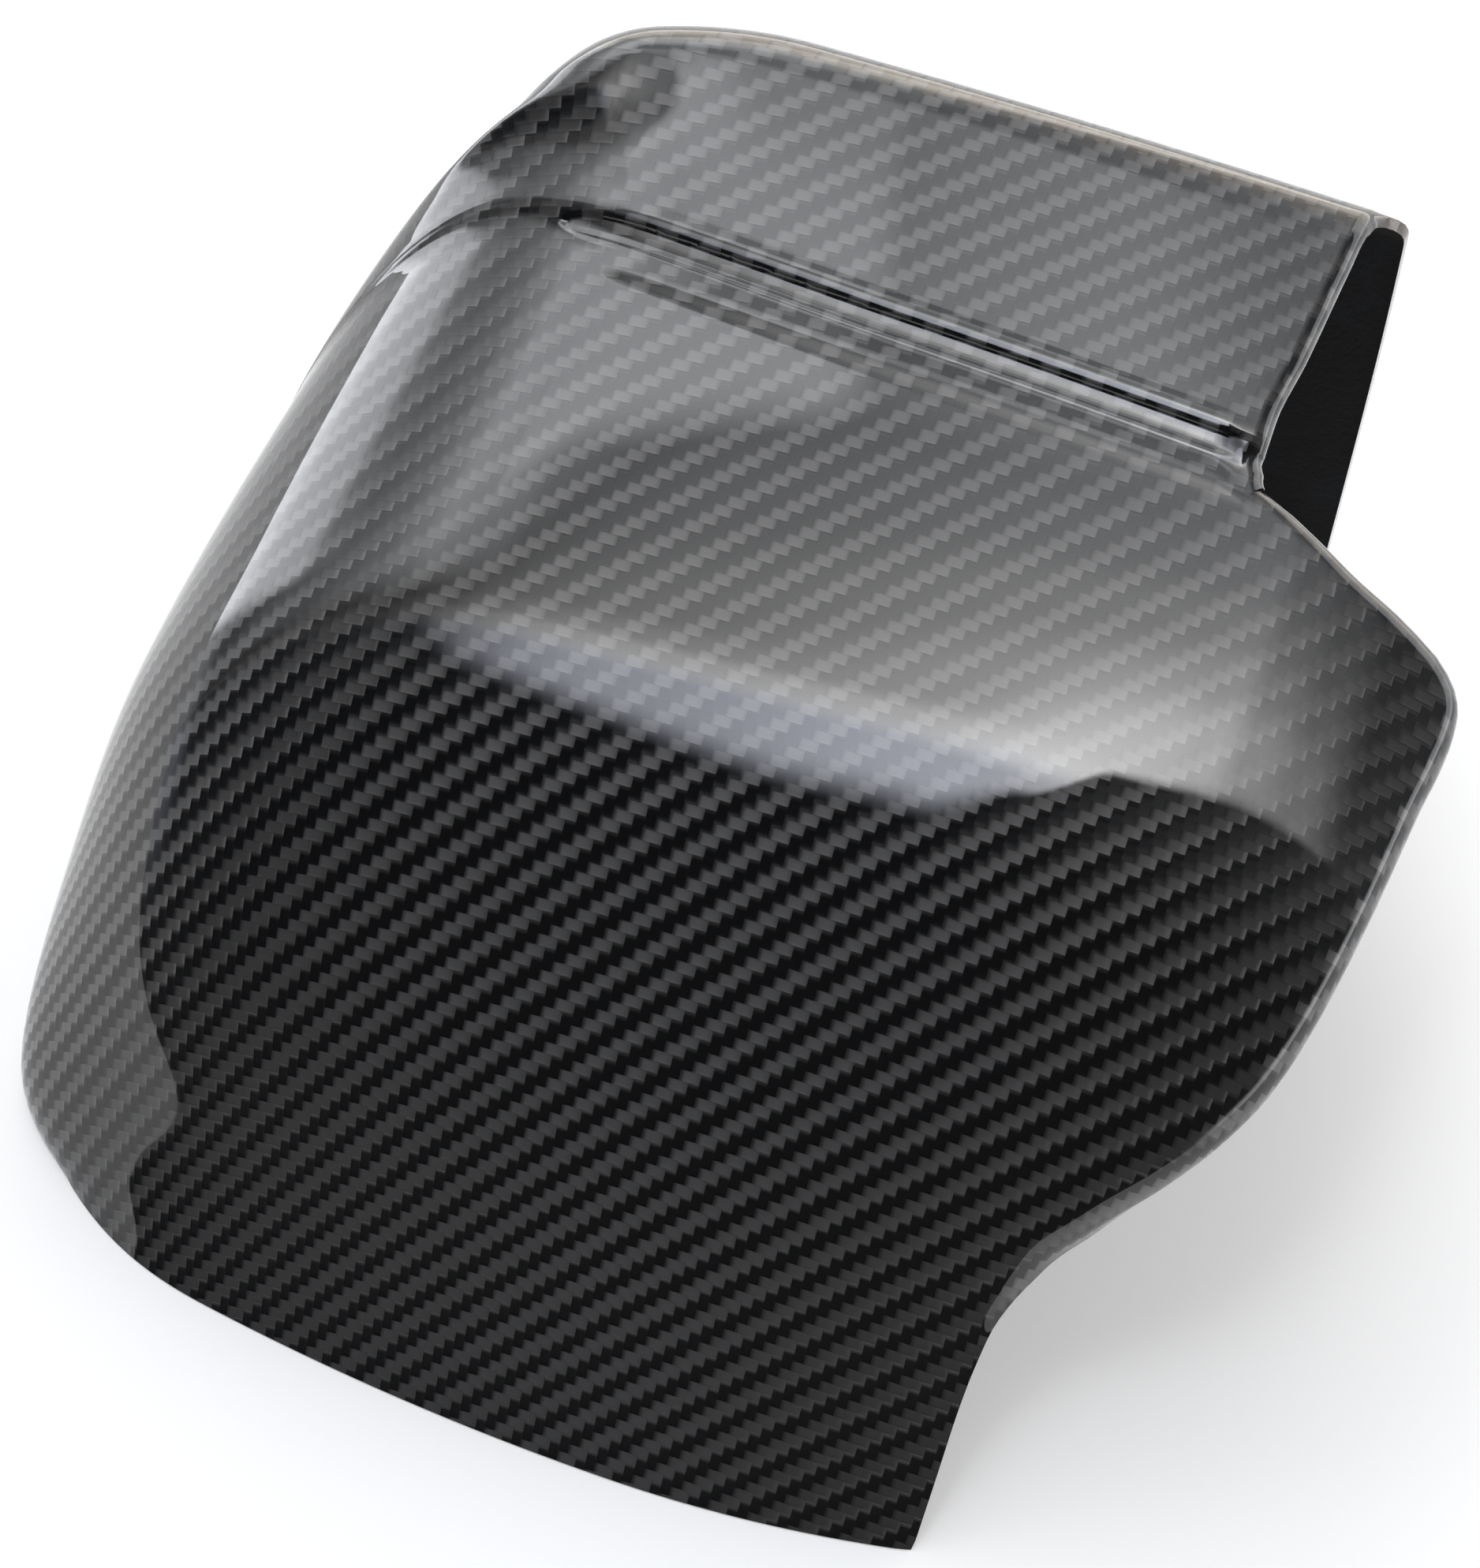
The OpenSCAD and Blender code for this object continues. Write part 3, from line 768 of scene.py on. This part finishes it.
def edge_material(finish):
    """Cut edge of the laminate under the clear coat."""
    material, board, end = new_material("cut_edge")
    where = board.put("TexCoord").outputs["Object"]
    grain = board.noise(where, 700.0, 3.0, 0.6).outputs[0]
    tint = board.blend(board.ramp(grain, 0.35, 0.65), tuple(finish.edge), tuple(finish.edge_grain))
    shader = board.put("BsdfPrincipled", {
        "Base Color": tint, "Roughness": 0.35, "Coat Weight": 1.0, "Coat Roughness": 0.05, "Coat IOR": 1.5})
    board.feed(end.inputs[0], shader.outputs[0])
    return material


class COVER_OT_shell(bpy.types.Operator):
    """Lay the clear-coated twill shell over the solid cover"""

    bl_idname = "cover.shell"
    bl_label = "Shell"

    def execute(self, context):
        form = ShellForm(context.scene.cover_shape)
        finish = context.scene.cover_finish
        p, n, w = form.grid()
        outside = form.skin(p, n, w, 0.0)
        inside = form.skin(p, n, w, form.wall_t)
        rows, cols = p.shape[:2]
        facing = grid_facing(outside)
        u, v = lay_cloth(outside, facing, finish.tow_turn)
        tow = finish.tow / MM
        cloth = np.stack([u.ravel(), v.ravel()], 1) / tow
        half = rows * cols
        loop = rim_loop(rows, cols)
        after = np.roll(loop, -1)
        edge = np.stack([loop, loop + half, after + half, after], 1)
        faces = np.concatenate([grid_quads(rows, cols, 0, False), grid_quads(rows, cols, half, True), edge])
        count = (rows - 1) * (cols - 1)
        index = np.repeat([0, 1, 2], [count, count, len(edge)])
        points = np.concatenate([outside.reshape(-1, 3), inside.reshape(-1, 3)])
        low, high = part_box(NODE)
        middle = (points.min(0) + points.max(0)) / 2
        points = (points - [middle[0], middle[1], 0.0]) * MM
        points[:, 0] += (low[0] + high[0]) / 2
        points[:, 1] += (low[1] + high[1]) / 2
        mesh = new_mesh("cover", points, faces, index, np.concatenate([cloth, cloth]))
        twill = twill_group()
        for material in (laminate_material(finish, twill), resin_material(finish), edge_material(finish)):
            mesh.materials.append(material)
        cover = bpy.data.objects.new("cover", mesh)
        context.scene.collection.objects.link(cover)
        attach(cover, BODY)
        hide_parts(NODE)
        return {"FINISHED"}


def lift(board, shader, extra):
    """Adds light that only the camera and clear or shiny things see."""
    path = board.put("LightPath").outputs
    shiny = board.math("MAXIMUM", path["Is Glossy Ray"], path["Is Transmission Ray"])
    seen = board.math("MAXIMUM", path["Is Camera Ray"], shiny)
    glow = board.put("Emission", {"Color": (1.0, 1.0, 1.0), "Strength": board.math("MULTIPLY", seen, extra)})
    return board.put("AddShader", {0: shader, 1: glow.outputs[0]}).outputs[0]


def studio_sky(world):
    """A sheet of light overhead with a bright front edge, boxes beside and behind it, dark to the front.

    Its steps are set so that the coat's reflections fall about where the photo has them. a and b
    are how far a direction leans to the right and to the back for each unit that it rises.
    """
    world.use_nodes = True
    board = Board(world.node_tree)
    end = board.put("OutputWorld")
    way = board.put("TexCoord").outputs["Generated"]
    x, y, z = board.split(way)
    up = board.math("MAXIMUM", z, 0.02)
    a, b = board.math("DIVIDE", x, up), board.math("DIVIDE", y, up)

    def product(*parts):
        total = parts[0]
        for part in parts[1:]:
            total = board.math("MULTIPLY", total, part)
        return total

    front = board.steps(
        a, [(-0.6, 0.0), (-0.37, -0.14), (-0.2, -0.24), (-0.13, -0.2), (-0.09, -0.08), (-0.06, 0.012)])
    soft = board.steps(a, [(-0.14, 0.16), (-0.07, 0.018)])
    inside = board.ramp(board.math("DIVIDE", board.math("SUBTRACT", b, front), soft), -0.5, 0.5)
    level = board.steps(b, [(-0.3, 6.5), (-0.05, 8.0), (0.0, 9.5), (0.03, 8.6), (0.06, 5.6), (0.1, 3.8),
                            (0.15, 2.7), (0.2, 2.2), (0.36, 1.5), (1.3, 1.4)])
    bump = product(board.steps(b, [(0.18, 0.0), (0.25, 1.8), (0.3, 1.6), (0.36, 0.0)]),
                   board.ramp(a, -0.04, -0.14))
    side = board.steps(a, [(-0.8, 0.05), (-0.62, 0.1), (-0.48, 0.22), (-0.37, 0.4), (-0.27, 0.75),
                           (-0.13, 1.0), (0.0, 1.0), (0.09, 0.6), (0.27, 0.33), (0.52, 0.02)])
    spot = board.join(board.math("ADD", a, 0.085), board.math("SUBTRACT", b, 0.015), 0.0)
    off = board.vector("LENGTH", spot)
    level = board.math("ADD", bump, board.math("MULTIPLY_ADD", board.ramp(off, 0.07, 0.0), 4.0, level))
    sheet = product(inside, side, level)
    lobe = product(board.ramp(b, 0.06, 0.26), board.steps(
        a, [(-5.0, 0.3), (-1.6, 0.8), (-1.25, 1.2), (-1.0, 1.7), (-0.8, 3.0), (-0.65, 4.7), (-0.43, 4.7),
            (-0.36, 3.2), (-0.28, 0.0)]))
    patch = product(board.steps(b, [(0.17, 0.0), (0.205, 5.2), (0.24, 4.9), (0.29, 3.4), (0.35, 1.8)]),
                    board.ramp(a, -0.21, -0.27), board.ramp(a, -0.6, -0.5))
    left = product(
        board.ramp(board.math("MULTIPLY_ADD", x, 0.23, y), -0.03, 0.05), board.ramp(x, -0.4, -0.7),
        board.steps(z, [(0.0, 6.0), (0.2, 5.0), (0.36, 4.5), (0.46, 1.6), (0.6, 1.0), (0.75, 0.0)]))
    right = product(board.ramp(x, 0.6, 0.85), board.ramp(z, 0.3, 0.12), 3.5)
    behind = product(board.ramp(a, 0.2, 0.4), board.ramp(b, 0.5, 0.7), 2.6)
    back = product(board.ramp(y, 0.7, 0.85), board.ramp(z, 0.5, 0.3), 3.0)
    total = sheet
    for part in (lobe, patch, left, right, behind, back):
        total = board.math("MAXIMUM", total, part)
    near_floor = product(board.ramp(z, 0.14, 0.02), board.ramp(y, -0.4, 0.0), 0.9)
    total = board.math("ADD", product(total, SKY_STRENGTH), board.math("ADD", near_floor, ROOM_LIGHT))
    leaf = product(board.ramp(b, 0.03, -0.05), board.ramp(a, -0.05, -0.12))
    tint = board.blend(board.ramp(b, 0.05, 0.25), (1.0, 1.0, 1.0), (0.975, 1.0, 1.04))
    tint = board.blend(leaf, tint, (0.92, 0.96, 1.09))
    tint = board.blend(board.ramp(y, 0.6, 0.9), tint, (1.08, 1.0, 0.9))
    seen = board.put("LightPath").outputs["Is Camera Ray"]
    tint = board.blend(seen, tint, (1.0, 1.0, 1.0))
    total = board.math("ADD", product(total, board.math("SUBTRACT", 1.0, seen)), seen)
    light = board.put("Background", {"Color": tint, "Strength": total})
    board.feed(end.inputs[0], light.outputs[0])


class COVER_OT_stage(bpy.types.Operator):
    """Set the floor, the studio light and the camera"""

    bl_idname = "cover.stage"
    bl_label = "Stage"

    def execute(self, context):
        look = context.scene.cover_stage
        scene = context.scene
        mesh = bpy.data.meshes.new("floor")
        reach = FLOOR_REACH
        corners = [(-reach, -reach, 0), (reach, -reach, 0), (reach, reach, 0), (-reach, reach, 0)]
        mesh.from_pydata(corners, [], [(0, 1, 2, 3)])
        floor = bpy.data.objects.new("floor", mesh)
        scene.collection.objects.link(floor)
        floor.location.z = -FLOOR_GAP
        material, board, end = new_material("pale_floor")
        matte = board.put("BsdfDiffuse", {"Color": tuple(look.floor)})
        board.feed(end.inputs[0], lift(board, matte.outputs[0], FLOOR_LIFT))
        mesh.materials.append(material)
        scene.world = bpy.data.worlds.new("studio")
        studio_sky(scene.world)
        camera = bpy.data.objects.new("camera", bpy.data.cameras.new("camera"))
        scene.collection.objects.link(camera)
        camera.data.lens = look.lens
        away = Vector((math.sin(look.azimuth) * math.cos(look.elevation),
                       -math.cos(look.azimuth) * math.cos(look.elevation), math.sin(look.elevation)))
        target = Vector((look.target_x, look.target_y, look.target_z))
        camera.location = target + look.distance * away
        camera.rotation_euler = (-away).to_track_quat("-Z", "Y").to_euler()
        camera.data.clip_start = 0.01
        scene.camera = camera
        scene.view_settings.view_transform = "Standard"
        return {"FINISHED"}


class COVER_PT_panel(bpy.types.Panel):
    """Sizes, finishes and stage of the cover"""

    bl_idname = "COVER_PT_panel"
    bl_label = "Wing Mirror Cover"
    bl_space_type = "VIEW_3D"
    bl_region_type = "UI"
    bl_category = "Cover"

    def draw(self, context):
        layout = self.layout
        for group, label in (("cover_shape", "Shape"), ("cover_finish", "Finish"), ("cover_stage", "Stage")):
            box = layout.box()
            box.label(text=label)
            settings = getattr(context.scene, group)
            for name in type(settings).__annotations__:
                box.prop(settings, name)
        layout.operator(COVER_OT_shell.bl_idname)
        layout.operator(COVER_OT_stage.bl_idname)


CLASSES = (CoverShape, CoverFinish, StageLook, COVER_OT_shell, COVER_OT_stage, COVER_PT_panel)


def register():
    for each in CLASSES:
        bpy.utils.register_class(each)
    bpy.types.Scene.cover_shape = PointerProperty(type=CoverShape)
    bpy.types.Scene.cover_finish = PointerProperty(type=CoverFinish)
    bpy.types.Scene.cover_stage = PointerProperty(type=StageLook)


def unregister():
    for name in ("cover_shape", "cover_finish", "cover_stage"):
        delattr(bpy.types.Scene, name)
    for each in reversed(CLASSES):
        bpy.utils.unregister_class(each)


def main():
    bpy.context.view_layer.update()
    register()
    bpy.ops.cover.shell()
    bpy.ops.cover.stage()


if __name__ == "__main__":
    main()
